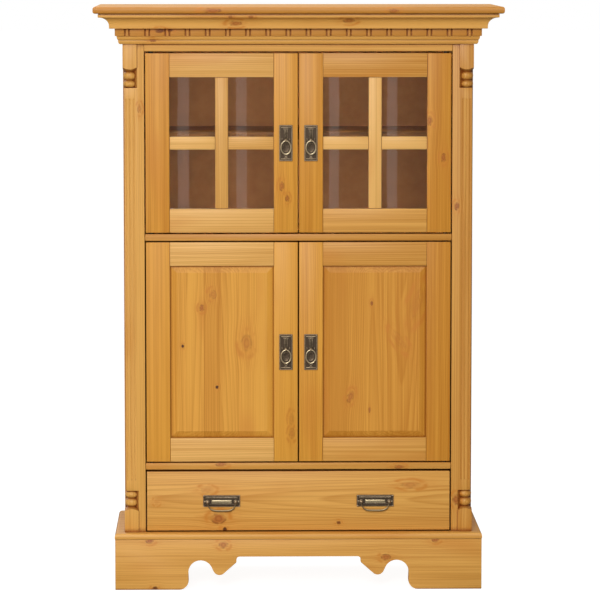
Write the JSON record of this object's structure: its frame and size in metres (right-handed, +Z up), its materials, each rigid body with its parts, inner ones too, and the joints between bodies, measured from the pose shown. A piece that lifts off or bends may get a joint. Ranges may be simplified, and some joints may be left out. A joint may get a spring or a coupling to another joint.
{
  "type": "display cabinet",
  "caption": "Honey pine display cabinet: glazed doors over panelled doors, a wide drawer with bail handles, fluted corner posts, dentil crown and scrolled plinth",
  "frame": {"origin": "on the floor, under the middle of the cabinet's box", "axes": "+Z up, +X to the right as seen from the front, the doors and the drawer face -Y, the back is at +Y"},
  "size_m": [1.041, 0.424, 1.498],
  "materials": {
    "pine": "honey stain under satin lacquer",
    "pale_pine": "paler honey stain under satin lacquer",
    "panel_pine": "honey stain under satin lacquer, knotty",
    "backing": "brown stained board, matt",
    "glass": "clear float glass",
    "bronze": "dark antique patina",
    "brass": "worn antique, rubbed bright",
    "steel": "turned steel"
  },
  "bodies": {
    "cabinet": {"plinth_frame": "pine", "base_board": "pine", "left_side_panel": "pine", "right_side_panel": "pine", "left_corner_post": "pine", "right_corner_post": "pine", "drawer_divider": "pine", "middle_divider": "pine", "top_panel": "pine", "upper_shelf": "pine", "back_panel": "backing", "crown_moulding": "pine", "crown_cap": "pine", "left_drawer_guide": "pine", "right_drawer_guide": "pine", "hinge_pin_left_bottom": "steel", "hinge_pin_left_middle": "steel", "hinge_pin_left_top": "steel", "hinge_pin_right_bottom": "steel", "hinge_pin_right_middle": "steel", "hinge_pin_right_top": "steel"},
    "left_upper_door": {"left_upper_door_hinge_stile": "pine", "left_upper_door_lock_stile": "pine", "left_upper_door_top_rail": "pale_pine", "left_upper_door_bottom_rail": "pale_pine", "left_upper_door_glazing_bars": "pale_pine", "left_upper_door_glass": "glass", "left_upper_door_handle_plate": "bronze"},
    "right_upper_door": {"right_upper_door_hinge_stile": "pine", "right_upper_door_lock_stile": "pine", "right_upper_door_top_rail": "pale_pine", "right_upper_door_bottom_rail": "pale_pine", "right_upper_door_glazing_bars": "pale_pine", "right_upper_door_glass": "glass", "right_upper_door_handle_plate": "bronze"},
    "left_lower_door": {"left_lower_door_hinge_stile": "pine", "left_lower_door_lock_stile": "pine", "left_lower_door_top_rail": "pale_pine", "left_lower_door_bottom_rail": "pale_pine", "left_lower_door_panel": "panel_pine", "left_lower_door_handle_plate": "bronze"},
    "right_lower_door": {"right_lower_door_hinge_stile": "pine", "right_lower_door_lock_stile": "pine", "right_lower_door_top_rail": "pale_pine", "right_lower_door_bottom_rail": "pale_pine", "right_lower_door_panel": "panel_pine", "right_lower_door_handle_plate": "bronze"},
    "drawer": {"drawer_front": "panel_pine", "drawer_left_side": "pine", "drawer_right_side": "pine", "drawer_back": "pine", "drawer_bottom": "panel_pine", "left_drawer_plate": "bronze", "right_drawer_plate": "bronze"},
    "left_upper_ring": {"left_upper_door_handle_ring": "brass"},
    "right_upper_ring": {"right_upper_door_handle_ring": "brass"},
    "left_lower_ring": {"left_lower_door_handle_ring": "brass"},
    "right_lower_ring": {"right_lower_door_handle_ring": "brass"},
    "left_bail": {"left_drawer_bail": "brass"},
    "right_bail": {"right_drawer_bail": "brass"}
  },
  "joints": [
    {"name": "left_upper_door_hinge", "type": "hinge", "parent": "cabinet", "child": "left_upper_door", "pos_m": [-0.3763, -0.1315, 0.9207], "axis": [0, 0, -1], "range_deg": [0, 110]},
    {"name": "right_upper_door_hinge", "type": "hinge", "parent": "cabinet", "child": "right_upper_door", "pos_m": [0.3763, -0.1315, 0.9207], "axis": [0, 0, 1], "range_deg": [0, 110]},
    {"name": "left_lower_door_hinge", "type": "hinge", "parent": "cabinet", "child": "left_lower_door", "pos_m": [-0.3763, -0.1315, 0.3297], "axis": [0, 0, -1], "range_deg": [0, 110]},
    {"name": "right_lower_door_hinge", "type": "hinge", "parent": "cabinet", "child": "right_lower_door", "pos_m": [0.3763, -0.1315, 0.3297], "axis": [0, 0, 1], "range_deg": [0, 110]},
    {"name": "drawer_slide", "type": "slide", "parent": "cabinet", "child": "drawer", "axis": [0, -1, 0], "range_m": [0, 0.2]},
    {"name": "left_upper_ring_swing", "type": "hinge", "parent": "left_upper_door", "child": "left_upper_ring", "pos_m": [-0.032, -0.1475, 1.15585], "axis": [-1, 0, 0], "range_deg": [0, 100]},
    {"name": "right_upper_ring_swing", "type": "hinge", "parent": "right_upper_door", "child": "right_upper_ring", "pos_m": [0.032, -0.1475, 1.15585], "axis": [-1, 0, 0], "range_deg": [0, 100]},
    {"name": "left_lower_ring_swing", "type": "hinge", "parent": "left_lower_door", "child": "left_lower_ring", "pos_m": [-0.032, -0.1475, 0.619], "axis": [-1, 0, 0], "range_deg": [0, 100]},
    {"name": "right_lower_ring_swing", "type": "hinge", "parent": "right_lower_door", "child": "right_lower_ring", "pos_m": [0.032, -0.1475, 0.619], "axis": [-1, 0, 0], "range_deg": [0, 100]},
    {"name": "left_bail_swing", "type": "hinge", "parent": "drawer", "child": "left_bail", "pos_m": [-0.198, -0.1475, 0.2251], "axis": [-1, 0, 0], "range_deg": [0, 100]},
    {"name": "right_bail_swing", "type": "hinge", "parent": "drawer", "child": "right_bail", "pos_m": [0.198, -0.1475, 0.2251], "axis": [-1, 0, 0], "range_deg": [0, 100]}
  ]
}
